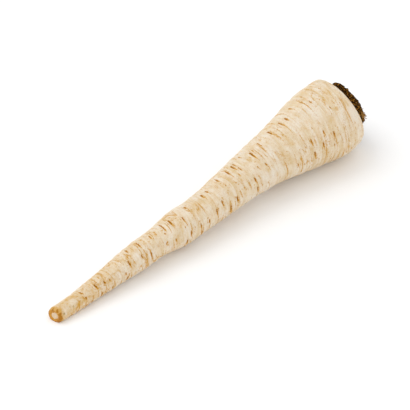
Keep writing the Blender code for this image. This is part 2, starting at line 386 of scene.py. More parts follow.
# the outline from the middle of the cut tip to the middle of the seat: close points of (distance, radius)
def rootOutline():
    form = rootForm
    radii = np.linspace(0, form["tipRadius"], 60)
    power = form["tipSquareness"]
    nearEdge = 0.995  # stops short of the edge, where the curve would stand upright
    sunk = 1 - (1 - (nearEdge * radii / form["tipRadius"]) ** power) ** (1 / power)
    places = form["tipStart"] + (form["tipEdge"] - form["tipStart"]) * sunk / sunk[-1]
    face = np.stack([places, radii], -1).tolist()
    step = form["outlineStep"]
    side = [
        (place, float(along(form["taper"], place)))
        for place in np.arange(form["tipEdge"] + step, form["thickest"], step)
    ]
    turn = np.linspace(0, math.pi / 2, 900)
    deep = np.sin(turn) ** form["fullness"]
    wide = np.maximum(np.cos(turn), 0) ** form["fullness"]
    shoulder = np.stack([
        form["thickest"] + (form["rim"] - form["thickest"]) * deep,
        form["rimRadius"] + (form["shoulder"] - form["rimRadius"]) * wide,
    ], -1)
    inward, down, out = form["lip"]
    lip = [(form["rim"], form["rimRadius"] - inward), (form["rim"] - down, form["seatRadius"] + out)]
    seat = [(form["seatFloor"], form["seatRadius"]), (form["seatFloor"], 0.0)]
    return np.array(face + side + shoulder.tolist() + lip + seat)


# rings spread along an outline by the length that each of its stretches counts for
def spreadRings(outline, lengths, count):
    reach = np.concatenate([[0], np.cumsum(lengths)])
    even = np.linspace(0, reach[-1], count)[1:-1]
    return [np.interp(even, reach, outline[:, column])[:, None] for column in (0, 1)]


# the root's rings, closer where a scar crosses and on the tip's face
def rootRings(scars):
    form = rootForm
    outline = rootOutline()
    step = np.hypot(*np.diff(outline, axis=0).T)
    middle = (outline[1:, 0] + outline[:-1, 0]) / 2
    weight = np.ones(len(step))
    for place, _, _, dark, _, _ in scars:
        if dark > form["tightDark"]:
            weight += form["tightRings"] * bump((middle - place) / form["tightReach"])
    weight = np.minimum(weight, 1 + form["tightRings"])
    weight[middle < 0] = form["tipRings"]
    weight[middle > form["rim"] - 0.3] = form["seatRings"]
    return spreadRings(outline, step * weight, form["rings"])


# the skin's height over the plain form, and the markings that the materials read, painted shade in its folds
# and creases among them
def skinRelief(place, angle, radius, straight, scars):
    form, wrinkles = scarForm, wrinkleForm
    size = 0.45 + 0.55 * radius / rootForm["shoulder"]
    relief = size * (
        wrinkles["knobHeight"] * lumps(straight / wrinkles["knobSpan"], 1)
        + wrinkles["rippleHeight"] * lumps(straight / wrinkles["rippleSpan"], 2)
    ) + wrinkles["grainHeight"] * lumps(straight / wrinkles["grainSpan"], 3)
    fold = bump(lumps(straight / wrinkles["foldSpan"], 11) / wrinkles["foldWidth"])
    fold = fold * ramp(lumps(straight / wrinkles["foldZones"], 12), *wrinkles["foldZoneCut"])
    relief -= wrinkles["foldDepth"] * fold
    marks = {name: np.zeros(radius.shape) for name in ("scar", "halo")}
    # painted shade along the folds starts the crease mark
    marks["crease"] = wrinkles["foldShade"] * fold

    def near(middle, reach):
        rows = np.nonzero(np.abs(place[:, 0] - middle) < reach)[0]
        return slice(rows[0], rows[-1] + 1) if len(rows) else slice(0, 0)

    def deepen(name, rows, values):
        marks[name][rows] = np.maximum(marks[name][rows], values)

    for middle, turn, arc, width, depth in listFurrows():
        rows = near(middle, width)
        fade = bump(turnFrom(angle, turn) / arc)
        relief[rows] -= depth * bump((place[rows] - middle) / width) * fade
    shade, fullDepth = wrinkles["creaseShade"]
    for middle, turn, arc, width, depth in listCreases():
        rows = near(middle, width)
        line = bump((place[rows] - middle) / width) * bump(turnFrom(angle, turn) / arc)
        relief[rows] -= depth * line
        # painted shade in the crease, darker the deeper it is
        deepen("crease", rows, shade * line * depth / fullDepth)
    for middle, turn, half, dark, trail, way in scars:
        rows = near(middle, form["zone"])
        run = turnFrom(angle, turn) * radius[rows]
        part = run / half  # 0 in the middle of the dash, 1 and -1 at its ends
        gap = place[rows] - middle - form["sweep"] * np.minimum(part ** 2, 4) * way
        # a dash is widest in its middle, and a little wider on the side away from its line
        ends = np.sqrt(np.maximum(1 - part ** 2, 0))
        width = form["coreWidth"] * (0.5 + 0.5 * dark) * ends * (1 - 0.3 * way * run / half)
        core = bump(gap / (width + form["blur"])) * np.minimum(ends * 1.6, 1)
        lower = bump((gap + form["lipPlace"]) / form["lipWidth"])
        upper = 0.5 * bump((gap - form["lipPlace"]) / form["lipWidth"])
        lips = (lower + upper) * bump(part / 2)
        groove = bump(gap / form["grooveWidth"]) * bump(part / 2.6)
        # the line runs on one side alone, and thins out
        thinning = np.clip(1 - way * run / (half + trail + 0.3), 0, 1) ** 0.6
        line = bump(gap / form["lineWidth"]) * np.minimum(thinning * (way * run > -0.6 * half), 1)
        relief[rows] += dark * (
            form["lipHeight"] * lips - form["coreDepth"] * core
            - form["grooveDepth"] * groove - form["lineDepth"] * line
        )
        beside = bump((run - 0.4 * way * half) / (1.7 * half + 0.5))
        deepen("scar", rows, core * dark)
        deepen("halo", rows, bump(gap / form["haloWidth"]) * beside * (0.25 + 0.75 * dark))
        # the scar's trailing line is a real golden line in the same mark
        deepen("crease", rows, line * (0.3 + 0.7 * dark))
    # the skin's height, which the material turns into painted shade in the hollows and paler ridges that are
    # partly painted highlight
    marks["raised"] = np.clip(0.5 + 1.3 * relief, 0, 1)
    return relief, marks


# stains, on the side that shows and drawn for the rest
def skinStains(place, angle, radius):
    form = stainForm
    draw = random.Random(form["seed"])
    first, last = form["reach"]
    marks = {}
    for kind, (count, small, large, strength) in form["drawn"].items():
        spots = []
        for seenAt, degrees, long, wide, dark in form[kind]:
            turn = math.radians(degrees)
            spots.append((ringOf(seenAt, turn), turn, long, wide, dark))
        for _ in range(count):
            size = draw.uniform(small, large)
            middle = first + (last - first) * draw.random() ** form["crowding"]
            turn = draw.uniform(-math.pi, math.pi)
            spots.append((middle, turn, size * form["squat"], size, strength * draw.uniform(0.4, 1)))
        mark = np.zeros(radius.shape)
        for middle, turn, long, wide, dark in spots:
            away = np.hypot((place - middle) / long, turnFrom(angle, turn) * radius / wide)
            mark = np.maximum(mark, dark * bump(away / form["softness"]))
        marks[kind] = mark
    return marks


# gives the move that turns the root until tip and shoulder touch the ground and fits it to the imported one
def layDown(points, form=rootForm):
    flat = points.reshape(-1, 3)

    def lowest(reach, cut):
        zone = flat[(flat[:, 0] > reach[0]) & (flat[:, 0] < reach[1])]
        return zone[zone[:, 2].argmin()] + (0, 0, cut)

    belly = lowest(form["bellyReach"], form["bellyFlat"])
    tip = lowest(form["tipReach"], form["tipFlat"])
    slope = math.atan2(belly[2] - tip[2], belly[0] - tip[0])
    c, s = math.cos(slope), math.sin(slope)
    turned = np.array([[c, 0, s], [0, 1, 0], [-s, 0, c]])
    low, high = (np.array(corner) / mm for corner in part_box("root"))
    laid = (flat - belly) @ turned.T
    shift = np.array([
        low[0] + form["tipShort"] - laid[:, 0].min(),
        (low[1] + high[1] - laid[:, 1].min() - laid[:, 1].max()) / 2,
        high[2] - laid[:, 2].max(),
    ])
    return lambda p: ((p - belly) @ turned.T + shift) * mm


# a mesh object from points in metres, faces, and numbers or vectors on its vertices
def makePiece(name, points, faces, marks, materials, faceMaterial=None):
    mesh = bpy.data.meshes.new(name)
    mesh.from_pydata(np.asarray(points).tolist(), [], faces)
    for key, values in marks.items():
        values = np.asarray(values, np.float32)
        kind, slot = ("FLOAT_VECTOR", "vector") if values.ndim == 2 else ("FLOAT", "value")
        mesh.attributes.new(key, kind, "POINT").data.foreach_set(slot, values.ravel())
    for material in materials:
        mesh.materials.append(material)
    if faceMaterial is not None:
        mesh.polygons.foreach_set("material_index", faceMaterial)
    work = bmesh.new()
    work.from_mesh(mesh)
    bmesh.ops.recalc_face_normals(work, faces=work.faces)
    work.to_mesh(mesh)
    work.free()
    mesh.shade_smooth()
    mesh.update()
    piece = bpy.data.objects.new(name, mesh)
    bpy.context.scene.collection.objects.link(piece)
    return piece


# the faces of a closed skin: rings of points one after another, and a middle point for each end after them
def ringFaces(rings, sides):
    last, middle = (rings - 1) * sides, rings * sides
    faces = [
        (i * sides + j, i * sides + (j + 1) % sides, (i + 1) * sides + (j + 1) % sides, (i + 1) * sides + j)
        for i in range(rings - 1) for j in range(sides)
    ]
    faces += [(middle, (j + 1) % sides, j) for j in range(sides)]
    faces += [(middle + 1, last + j, last + (j + 1) % sides) for j in range(sides)]
    return faces


# adds those two middle points to the rings' own
def withMiddles(points, sides):
    return np.concatenate([points, points[:sides].mean(0)[None], points[-sides:].mean(0)[None]])


# one node of any kind: its settings, then its inputs, each a value or another node's output
def addNode(tree, kind, settings=None, inputs=None):
    node = tree.nodes.new(kind)
    for name, value in (settings or {}).items():
        setattr(node, name, value)
    for name, value in (inputs or {}).items():
        if isinstance(value, bpy.types.NodeSocket):
            tree.links.new(value, node.inputs[name])
        else:
            node.inputs[name].default_value = value
    return node


# a new material with its node tree and its shader
def startMaterial(name):
    material = bpy.data.materials.new(name)
    material.use_nodes = True
    return material, material.node_tree, material.node_tree.nodes["Principled BSDF"]


# what the mesh holds at each point, by name
def readMarks(tree, numbers, vector):
    found = {
        name: addNode(tree, "ShaderNodeAttribute", {"attribute_name": name}) for name in (*numbers, vector)
    }
    return found[vector].outputs["Vector"], {name: found[name].outputs["Fac"] for name in numbers}


# colours laid over a base one after another, each with its mask, its strength and maybe a second mask
def paint(tree, base, layers):
    color = base
    for mask, code, strength, *second in layers:
        share = addNode(tree, "ShaderNodeMath", {"operation": "MULTIPLY", "use_clamp": True},
                        {0: mask, 1: strength})
        for other in second:
            share = addNode(tree, "ShaderNodeMath", {"operation": "MULTIPLY"},
                            {0: share.outputs[0], 1: other})
        mixed = addNode(tree, "ShaderNodeMix", {"data_type": "RGBA"},
                        {0: share.outputs[0], 6: color, 7: hexColor(code)})
        color = mixed.outputs[2]
    return color


# a pattern of lumps, mm long along the root and mm wide round it, cut between two levels
def pattern(tree, place, long, wide, low, high, detail=2.0, rough=0.5, warp=0.0):
    scaled = addNode(tree, "ShaderNodeVectorMath", {"operation": "MULTIPLY"},
                     {0: place, 1: (1 / long, 1 / wide, 1 / wide)})
    lumpy = addNode(tree, "ShaderNodeTexNoise", {}, {
        "Vector": scaled.outputs[0], "Scale": 1.0, "Detail": detail, "Roughness": rough, "Distortion": warp})
    cut = addNode(tree, "ShaderNodeMapRange", {"interpolation_type": "SMOOTHSTEP"},
                  {"Value": lumpy.outputs[0], "From Min": low, "From Max": high})
    return cut.outputs[0]


# a mask whose edge is broken up by a pattern, cut between two levels
def ragged(tree, mask, broken, low, high, depth=0.5):
    moved = addNode(tree, "ShaderNodeMath", {"operation": "MULTIPLY_ADD"}, {0: broken, 1: depth, 2: mask})
    cut = addNode(tree, "ShaderNodeMapRange", {"interpolation_type": "SMOOTHSTEP"},
                  {"Value": moved.outputs[0], "From Min": low + depth / 2, "From Max": high + depth / 2})
    return cut.outputs[0]


# light goes about a millimetre into skin and flesh, red furthest
lightUnderSkin = {"Subsurface Radius": (1.0, 0.7, 0.4), "Subsurface Scale": 1.2 * mm}


# joins colour and relief to the shader, and sets the finish's plain values
def finishMaterial(tree, shader, finish, color, height=None):
    tree.links.new(color, shader.inputs["Base Color"])
    if height is not None:
        strength, depth = finish["relief"]
        relief = addNode(tree, "ShaderNodeBump", {},
                         {"Strength": strength, "Distance": depth * mm, "Height": height})
        tree.links.new(relief.outputs[0], shader.inputs["Normal"])
    for socket, value in finish["plain"].items():
        shader.inputs[socket].default_value = value


# Parsley root skin, washed and rubbed: a thin dull cork layer over pale flesh, cream with soft tan clouds,
# golden lines where it creases that are partly painted shade, painted shade in its hollows, paler ridges
# that are partly rubbed wear and partly painted highlight, and brown at the scars
skinFinish = {
    "cream": "#EADCC5", "pale": "#ECE2D2", "tan": "#D9B87E", "peach": "#E2C59D", "hollowShade": "#D4B67C",
    "line": "#C88E10", "fleck": "#C4880A", "halo": "#CC9420", "scar": "#B07204", "pit": "#7A4A04",
    "gold": "#CA941E", "green": "#7E661C", "tip": "#CE9A2C", "ring": "#AE7010", "collar": "#764312",
    # the heights, as the mesh holds them, where painted shade darkens the hollows and where the ridges turn
    # paler, partly rubbed wear and partly painted highlight
    "hollowShadeCut": (0.55, 0.0),
    "ridgeWearAndHighlightCut": (0.5, 0.85),
    "roughness": (0.5, 0.64),
    "relief": (0.8, 0.1),  # strength, and depth in mm
    "plain": {"IOR": 1.42, "Specular IOR Level": 0.2, "Subsurface Weight": 0.1, **lightUnderSkin},
}

# its patterns: mm along the root, mm round it, the two levels that each is cut between, and then maybe
# detail, roughness and warp
skinPatterns = {
    "clouds": (17, 11, 0.38, 0.62, 3),
    "mottle": (4, 5.5, 0.46, 0.78, 5, 0.6),
    "golden": (2.0, 3.0, 0.50, 0.86, 7, 0.75),
    "peach": (9, 7, 0.48, 0.72, 3),
    "bands": (1.7, 16, 0.44, 0.66, 3, 0.5, 0.5),  # growth rings that run round the root
    "threads": (0.5, 7, 0.52, 0.68, 4, 0.5, 0.5),  # and finer ones
    "flecks": (0.9, 1.4, 0.56, 0.74, 4, 0.6),
    "zones": (12, 10, 0.46, 0.60),  # where the flecks are
    "blotches": (1.6, 1.8, 0.30, 0.72, 6, 0.75),
    "grain": (0.35, 0.5, 0.3, 0.75, 3),
    "broken": (0.5, 0.8, 0.3, 0.7, 3, 0.6),  # frays the edges of markings
}

# what is laid over the cream, in this order: pattern, colour, strength, and maybe where alone it shows
skinLayers = (
    ("clouds", "pale", 0.85), ("peach", "peach", 0.45), ("mottle", "tan", 0.7), ("bands", "tan", 0.35),
    # the ridge layer is partly rubbed wear and partly painted highlight, and the hollow layer is painted
    # shade
    ("ridge", "pale", 0.6), ("hollowShade", "hollowShade", 0.35), ("golden", "gold", 0.5), ("threads", "tan", 0.35),
    ("grain", "tan", 0.1), ("flecks", "fleck", 0.6, "zones"),
)

# and then the markings: colour, strength, the pattern that frays it, the levels it is cut between, and how
# deep it frays
skinMarkings = (
    ("rubbed", "pale", 0.8, "broken", 0.15, 0.6, 0.5), ("tipStain", "tip", 0.8, "blotches", 0.0, 2.0, 1.2),
    ("gold", "gold", 0.75, "blotches", 0.1, 1.2, 0.9), ("green", "green", 0.6, "broken", 0.3, 0.8, 0.5),
    # the crease mark is real golden lines that trail from scars, together with painted shade in the folds
    # and creases
    ("crease", "line", 0.85, "broken", 0.05, 0.6, 0.5), ("halo", "halo", 0.9, "broken", 0.15, 0.8, 0.5),
    ("collar", "collar", 0.85, "broken", 0.2, 0.8, 0.5), ("cutRing", "ring", 0.9, "broken", 0.2, 0.8, 0.5),
    ("scar", "scar", 0.95, "broken", 0.15, 0.6, 0.5), ("scar", "pit", 0.8, "broken", 0.75, 1.0, 0.5),
)


def washedRootSkin():
    material, tree, shader = startMaterial("washedParsleyRootSkin")
    f = skinFinish
    numbers = {"raised"} | {marking[0] for marking in skinMarkings}
    place, m = readMarks(tree, sorted(numbers), "skinPlace")
    p = {name: pattern(tree, place, *sizes) for name, sizes in skinPatterns.items()}
    # painted shade in the low skin, and paler ridges that are partly rubbed wear and partly painted
    # highlight, both cut from its height
    for name, (start, end) in {"hollowShade": f["hollowShadeCut"], "ridge": f["ridgeWearAndHighlightCut"]}.items():
        cut = addNode(tree, "ShaderNodeMapRange", {"interpolation_type": "SMOOTHSTEP"},
                      {"Value": m["raised"], "From Min": start, "From Max": end})
        p[name] = cut.outputs[0]
    layers = [
        (p[name], f[tone], strength, *(p[zone] for zone in where))
        for name, tone, strength, *where in skinLayers
    ]
    for name, tone, strength, frayed, low, high, depth in skinMarkings:
        layers.append((ragged(tree, m[name], p[frayed], low, high, depth), f[tone], strength))
    # duller in the grain and round the scars, where the cork is thicker
    smooth, dull = f["roughness"]
    grainy = addNode(tree, "ShaderNodeMapRange", {}, {"Value": p["grain"], "To Min": smooth, "To Max": dull})
    duller = addNode(tree, "ShaderNodeMath", {"operation": "MULTIPLY_ADD", "use_clamp": True},
                     {0: m["halo"], 1: 0.2, 2: grainy.outputs[0]})
    tree.links.new(duller.outputs[0], shader.inputs["Roughness"])
    height = p["grain"]
    for name, depth in (("threads", -0.7), ("bands", -0.8)):
        lowered = addNode(tree, "ShaderNodeMath", {"operation": "MULTIPLY_ADD"},
                          {0: p[name], 1: depth, 2: height})
        height = lowered.outputs[0]
    finishMaterial(tree, shader, f, paint(tree, hexColor(f["cream"]), layers), height)
    return material


# Parsley root flesh, sliced and dried: pale core with a browned ring, slightly moist
fleshFinish = {
    "flesh": "#CE922A", "blotch": "#B87812", "core": "#DFC8A8", "bruise": "#C99850", "ring": "#A8660C",
    "relief": (0.6, 0.1),
    "plain": {"IOR": 1.4, "Roughness": 0.5, "Subsurface Weight": 0.15, **lightUnderSkin},
}


def slicedRootFlesh():
    material, tree, shader = startMaterial("slicedParsleyRootFlesh")
    f = fleshFinish
    place, m = readMarks(tree, ("cutRing", "core"), "skinPlace")
    blotch = pattern(tree, place, 1.0, 0.9, 0.42, 0.66, detail=3, rough=0.6)
    broken = pattern(tree, place, 0.6, 0.6, 0.3, 0.7, detail=3)
    color = paint(tree, hexColor(f["flesh"]), [
        (blotch, f["blotch"], 0.6),
        (ragged(tree, m["core"], broken, 0.1, 0.8), f["core"], 0.95),
        (blotch, f["bruise"], 0.3, broken),
        (ragged(tree, m["cutRing"], broken, 0.2, 0.8), f["ring"], 0.9),
    ])
    finishMaterial(tree, shader, f, color, blotch)
    return material


# The cut tip's face: a pale core a little off its middle, a ridge and a groove round it, and a rim that
# browned on one side most. Radii and heights in mm
tipForm = {
    "unevenSpan": (2.0, 1.3, 1.3),
    "unevenHeight": 0.2,
    "coreShift": 0.5,  # towards the broad side
    "coreRadius": (1.5, 2.1),
    "ridge": (2.2, 0.7, 0.3),  # radius, half width, height
    "groove": (3.2, 0.7, 0.12),  # radius, half width, depth
    "fadeOut": (3.2, 3.9),  # the face's own relief ends between these radii
    "ring": (3.7, 1.3),  # radius and half width
    "brownSide": math.radians(130),
    "fleshRadius": 3.3,  # flesh inside it, skin outside
    # a tan stain that runs out along the root: from, up to, how soon it thins, and the size of its patches
    "stain": (-4.0, 80.0, 1.5),
    "stainSpan": (5, 3, 3),
    "faceStain": 1.2,  # and how much of it is on the face, and where that ends
    "faceStainEnd": (4.4, 6.5),
}


# the relief of that face, and the markings that the two materials read there
def tipFace(place, angle, radius, straight, marks):
    form, edge = tipForm, rootForm["tipEdge"]
    toBroad = angle - rootForm["broadSide"]
    onFace = 1 - ramp(radius, *form["fadeOut"]) * (place > edge - 0.7)
    fromMiddle = np.where(place < edge, radius, rootForm["tipRadius"] + place - edge)
    fromCore = np.hypot(fromMiddle * np.cos(toBroad) - form["coreShift"], fromMiddle * np.sin(toBroad))
    uneven = lumps(straight / form["unevenSpan"], 3)
    ridgeAt, ridgeWidth, ridgeHeight = form["ridge"]
    grooveAt, grooveWidth, grooveDepth = form["groove"]
    relief = form["unevenHeight"] * uneven
    relief = relief + ridgeHeight * bump((fromCore - ridgeAt - 0.5 * uneven) / ridgeWidth)
    relief = relief - grooveDepth * bump((fromMiddle - grooveAt) / grooveWidth)
    marks["core"] = 1 - ramp(fromCore + 0.8 * uneven, *form["coreRadius"])
    browned = np.clip(0.7 + 0.45 * np.cos(angle - form["brownSide"]) + 0.8 * uneven, 0.15, 1)
    ringAt, ringWidth = form["ring"]
    ring = bump((fromMiddle - ringAt) / (ringWidth + 0.7 * uneven))
    marks["cutRing"] = np.clip(1.5 * ring * browned, 0, 1)
    first, last, thinning = form["stain"]
    patches = 0.8 + 0.9 * lumps(straight / form["stainSpan"], 5)
    alongRoot = (1 - ramp(place, first, last)) ** thinning * patches
    offFace = ramp(fromMiddle + 0.8 * uneven, *form["faceStainEnd"])
    marks["tipStain"] = alongRoot + form["faceStain"] - form["faceStain"] * offFace
    return onFace * relief


# Where the skin meets the crown: radial wrinkles, and an edge that browned
collarForm = {
    "reach": (4.5, 0.6),  # mm back from the rim
    "wrinkles": 31,
    "wrinkleHeight": 0.16,
    "smoothing": 0.7,  # how much of the skin's other relief goes there
    "brown": (17.3, 16.0),  # radii where it starts and is full
    "raggedness": 0.7,
}


def collarRelief(place, angle, radius, straight, relief, marks):
    form = collarForm
    start, end = form["reach"]
    nearRim = ramp(place, rootForm["rim"] - start, rootForm["rim"] - end)
    radial = np.sin(form["wrinkles"] * angle + 5 * lumps(straight / (9, 9, 9), 7)) * 0.5
    radial = radial + lumps(straight / (4, 1.6, 1.6), 8)
    outer, inner = form["brown"]
    inward = ramp(-radius - form["raggedness"] * lumps(straight / (3, 3, 3), 9), -outer, -inner)
    marks["collar"] = inward * (place > rootForm["thickest"])
    return relief * (1 - form["smoothing"] * nearRim) + form["wrinkleHeight"] * nearRim * radial


def buildRoot():
    form = rootForm
    scars = listScars()
    place, radius = rootRings(scars)
    angle = np.linspace(0, 2 * math.pi, form["sides"], endpoint=False)[None, :]
    radius = radius + 0 * angle
    straight = unbent(place, radius, angle)
    relief, marks = skinRelief(place, angle, radius, straight, scars)
    marks.update(skinStains(place, angle, radius))
    faceRelief = tipFace(place, angle, radius, straight, marks)
    relief = collarRelief(place, angle, radius, straight, relief, marks)

    edge, rim, fade = form["tipEdge"], form["rim"], form["rimFade"]
    onSkin = ramp(place, edge, edge + fade) * (1 - ramp(place, rim - fade, rim))
    loose = ramp(place, form["tipEnd"], form["tipEnd"] + form["looseReach"])
    loose = loose * (1 - ramp(place, form["thickest"] - form["looseReach"] / 2, rim))
    grown = radius * (1 + swelling(place, angle) * loose)
    tilt = form["tipTilt"] * radius * np.cos(angle - form["broadSide"])
    tilt = tilt * (1 - ramp(place, edge, edge + form["tipTiltReach"]))
    shifted = place + wander(place, angle) * loose + faceRelief + tilt
    points = bent(shifted, grown + relief * onSkin, angle).reshape(-1, 3)
    laid = layDown(points)
    points = laid(points)
    points[:, 2] = np.maximum(points[:, 2], 0)

    rings, sides = form["rings"] - 2, form["sides"]
    points, faces = withMiddles(points, sides), ringFaces(rings, sides)
    marks["skinPlace"] = straight
    ready = {}
    for name, values in marks.items():
        values = values.reshape(-1, 3) if values.ndim == 3 else values.ravel()
        ready[name] = np.concatenate([values, values[:1], values[-1:]])

    # flesh on the cut face: its rings, and the ring of triangles round its middle point
    faceRings = int((radius[:, 0] < tipForm["fleshRadius"]).cumprod().sum())
    kinds = np.zeros(len(faces), int)
    kinds[:faceRings * sides] = 1
    kinds[(rings - 1) * sides:rings * sides] = 1
    piece = makePiece("rootSkin", points, faces, ready, [washedRootSkin(), slicedRootFlesh()], kinds)
    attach(piece, "root")
    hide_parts("root")
    print("root skin", len(faces), "faces,", len(scars), "scars")
    return laid


laid = buildRoot()


# The crown: what is left of the leaves. Thick bases stand in a spiral round the heart, and torn scales
# hug the wall
crownForm = {
    "seed": 8,
    # the disc's outline as (distance, radius)
    "disc": (
        (213.3, 0), (213.3, 14.3), (216.2, 14.2), (216.9, 13.7), (217.4, 14.1), (218.3, 13.9), (218.8, 13.2),
        (219.6, 13.4), (220.2, 12.7), (220.0, 10.5), (220.2, 6.0), (219.8, 0),
    ),
    "discRings": 90,
    "discSides": 150,
    "roughFrom": (215.8, 216.8),
    "leafBases": 22,
    "goldenTurn": math.radians(137.5),
    "outerRadius": 13.2,
    "innerRadius": 2.2,
    "crowding": 1.3,
    "arc": (36, 50, 6),  # half arc of the outer ones in degrees, how much more the heart's have, play
    "foot": 215.0,
    "top": 223.2,
    "heartRise": 1.8,
    "thickness": 2.0,
    "baseFlareFray": (0.4, 0.9),
    # scales on the wall: how many, radius, foot, top
    "tiers": (
        (8, 14.4, 214.6, 217.6), (9, 14.2, 214.8, 219.4), (10, 13.9, 215.4, 221.4), (11, 13.6, 216.5, 222.8),
    ),
    "scaleThickness": 0.5,
    "flare": 0.5,
    "fray": 0.4,
    # the side where the scales lean out over the skin, in degrees, and by how many mm
    "leanOut": (-8, 60, 1.3),
    # one pale scale there: angle, radius, half arc, foot, top, thickness, flare, fray, tone
    "paleScale": (math.radians(4), 15.0, 0.26, 214.8, 219.3, 0.7, 0.7, 0.8, 1.0),
    "columnStep": 0.42,
    "seedOfScales": 31,
    # loose strands: how many, their length and own radius in mm, how far they lean, and the radius and foot
    # where they stand at the wall, with how much less and more these are at the heart
    "strands": 300,
    "strandLength": (1.0, 3.0),
    "strandThickness": (0.07, 0.14),
    "strandLean": (-0.1, 0.5),
    "strandRadius": (13.8, 11.8),
    "strandFoot": (221.0, 2.4),
    # and a tuft of short thick ones: degrees round the root, spread, how many
    "tuft": (86, 7, 32),
    "tuftLength": (1.4, 2.8),
    "tuftThickness": (0.35, 0.6),
    "tuftLean": (0.3, 0.9),
    "tuftFoot": 219.2,
}


# what one piece of the crown is gathered in
def newParts():
    return {"points": [], "faces": [], "marks": {"tall": [], "cut": [], "tone": [], "fibre": []}}


# a closed skin over loops of points that follow one another, each loop an even number of points
def loft(loops, parts):
    count, size = loops.shape[:2]
    start = len(parts["points"])
    parts["points"] += loops.reshape(-1, 3).tolist()
    faces = parts["faces"]
    for i in range(count - 1):
        for j in range(size):
            a, b = start + i * size + j, start + i * size + (j + 1) % size
            faces.append((a, b, b + size, a + size))
    for first in (start, start + (count - 1) * size):
        for j in range(size // 2 - 1):
            faces.append((first + j, first + j + 1, first + size - 2 - j, first + size - 1 - j))


# one leaf base: a crescent wall bent round the crown, with fibre ridges, a sunken top and a torn rim
def leafBase(draw, parts, turn, radius, halfArc, foot, top, thick, flare, fray, tone):
    columns = max(10, int(2 * radius * halfArc / crownForm["columnStep"]))
    end = np.linspace(-1, 1, columns)[:, None]
    # up the outer side, over the top and down the inner side
    rise, across = 7, 6
    up = np.linspace(0, 1, rise)
    height = np.concatenate([up, np.ones(across), up[::-1]])[None, :]
    side = np.concatenate([np.ones(rise), np.linspace(1, -1, across + 2)[1:-1], -np.ones(rise)])[None, :]
    onTop = height > 0.99
    # one column in twelve or so is torn deeper
    torn = np.array([draw.uniform(-1, 0.5) + (-1.6 if draw.random() < 0.08 else 0) for _ in range(columns)])
    torn = fray * np.convolve(torn, (0.1, 0.24, 0.32, 0.24, 0.1), "same")[:, None]
    ridges = np.convolve([draw.uniform(-1, 1) for _ in range(columns)], (0.25, 0.5, 0.25), "same")[:, None]
    tall = (top - foot) * (1 - 0.18 * end ** 2)
    slim = thick / 2 * (1 - 0.6 * end ** 2) * (1 - 0.2 * height)
    wave = 0.25 * thick ** 0.5 * np.sin(3 * end + draw.uniform(0, 6)) * height
    pith = 0.35 * thick * (1 - side ** 2) * onTop
    angle = turn + end * halfArc + 0 * height
    out = radius + flare * height ** 2 + wave + side * (slim + 0.1 * ridges) + 0.05 * ridges
    place = foot + height * tall + torn * height ** 3 - pith
    straight = unbent(place, out, angle)
    place = place + 0.3 * height ** 2 * lumps(straight / 0.8, 21)
    out = out + 0.16 * lumps(straight / (1.6, 0.9, 0.9), 22)
    loft(bent(place, out, angle), parts)
    count = columns * height.shape[1]
    marks = parts["marks"]
    marks["tall"] += (height + 0 * end).ravel().tolist()
    marks["cut"] += (onTop * (1 - side ** 2) + 0 * end).ravel().tolist()
    marks["tone"] += [tone] * count
    marks["fibre"] += np.stack([place, angle * radius, 0 * place + 9 * tone], -1).reshape(-1, 3).tolist()


# one strand: a slim rod along a bent line, pointed at its end
def strand(draw, parts, turn, radius, foot, long, thick, lean, tone):
    steps, sides = 6, 4
    sway, curl = draw.uniform(-0.25, 0.25), draw.uniform(-1, 1)
    t = np.linspace(0, 1, steps + 1)
    place = foot + long * t * (1 - 0.25 * abs(lean) * t)
    sideways = (sway * t + 0.08 * curl * np.sin(5 * t)) * long / max(radius, 3) * 0.8
    middle = bent(place, radius + lean * long * t * t, turn + sideways)
    a = 2 * np.pi * np.arange(sides) / sides
    r = thick * (1 - 0.8 * t)[:, None]
    loops = middle[:, None, :] + np.stack([0.3 * r * np.sin(a), r * np.cos(a), r * np.sin(a)], -1)
    loft(loops, parts)
    marks = parts["marks"]
    marks["tall"] += np.repeat(t, sides).tolist()
    marks["cut"] += [0.0] * (len(t) * sides)
    marks["tone"] += [tone] * (len(t) * sides)
    marks["fibre"] += [(long * u, b, tone * 9) for u in t for b in a]


# Leaf-base fibre, torn and dried on the root: near-black brown, ochre where fresh fibre shows, tan where
# cut, and dull
fibreFinish = {
    "base": "#241102", "tone": "#361C05", "streak": "#5E380C", "gap": "#0A0401", "fleck": "#B47A26",
    "light": "#8A5E22", "edge": "#5A3812", "cut": "#553615", "dot": "#1C0E04",
    "relief": (0.7, 0.12),
    "plain": {"Roughness": 0.85, "Specular IOR Level": 0.04},
}


def driedLeafBase():
    material, tree, shader = startMaterial("driedLeafBaseFibre")
    f = fibreFinish
    place, m = readMarks(tree, ("tall", "tone", "cut"), "fibre")
    streaks = pattern(tree, place, 3, 0.45, 0.5, 0.7, detail=3)
    fine = pattern(tree, place, 1.6, 0.25, 0.42, 0.62, detail=2)
    flecks = pattern(tree, place, 1.1, 0.7, 0.52, 0.60, detail=4, rough=0.6)
    dots = pattern(tree, place, 0.5, 0.5, 0.5, 0.68, detail=2)
    edge = addNode(tree, "ShaderNodeMath", {"operation": "POWER"}, {0: m["tall"], 1: 6.0})
    light = addNode(tree, "ShaderNodeMath", {"operation": "POWER"}, {0: m["tone"], 1: 4.0})
    color = paint(tree, hexColor(f["base"]), [
        (m["tone"], f["tone"], 0.6),
        (streaks, f["streak"], 0.55),
        (fine, f["gap"], 0.75),
        (flecks, f["fleck"], 0.85),
        (light.outputs[0], f["light"], 0.5, streaks),
        (edge.outputs[0], f["edge"], 0.08),
        (m["cut"], f["cut"], 0.65),
        (dots, f["dot"], 0.6, m["cut"]),
    ])
    height = addNode(tree, "ShaderNodeMath", {"operation": "ADD"}, {0: streaks, 1: fine})
    finishMaterial(tree, shader, f, color, height.outputs[0])
    return material


